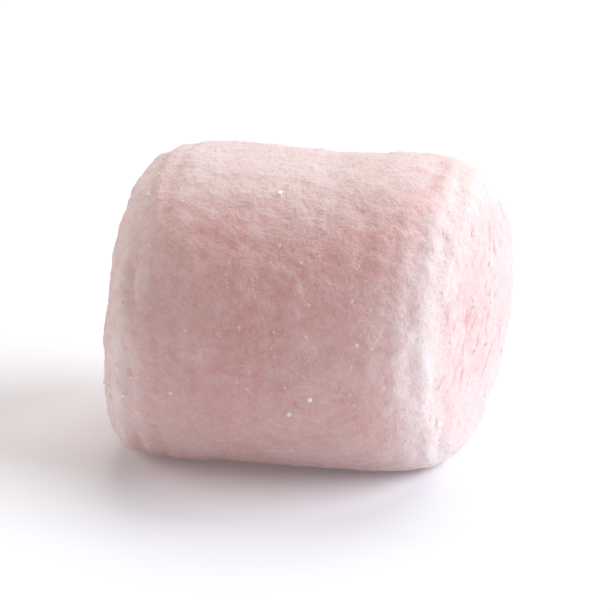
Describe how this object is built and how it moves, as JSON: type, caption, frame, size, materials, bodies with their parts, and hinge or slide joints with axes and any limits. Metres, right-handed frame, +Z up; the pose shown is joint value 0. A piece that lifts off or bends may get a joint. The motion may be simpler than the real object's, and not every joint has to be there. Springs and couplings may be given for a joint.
{
  "type": "marshmallow",
  "caption": "Soft round pink marshmallow with blunt cut ends, dusted with starch, lying on its side; a sweet to eat, toast or melt.",
  "frame": {"origin": "in the floor, under the middle of the bounding box", "axes": "+X along the rope it was cut from, from one cut end to the other; +Y from front to back; +Z up"},
  "size_m": [0.0352, 0.0318, 0.0275],
  "materials": {
    "whipped_sugar": "matte, soft pink foam under an uneven dusting of white starch"
  },
  "bodies": {
    "root": {"marshmallow": "whipped_sugar"}
  },
  "joints": []
}
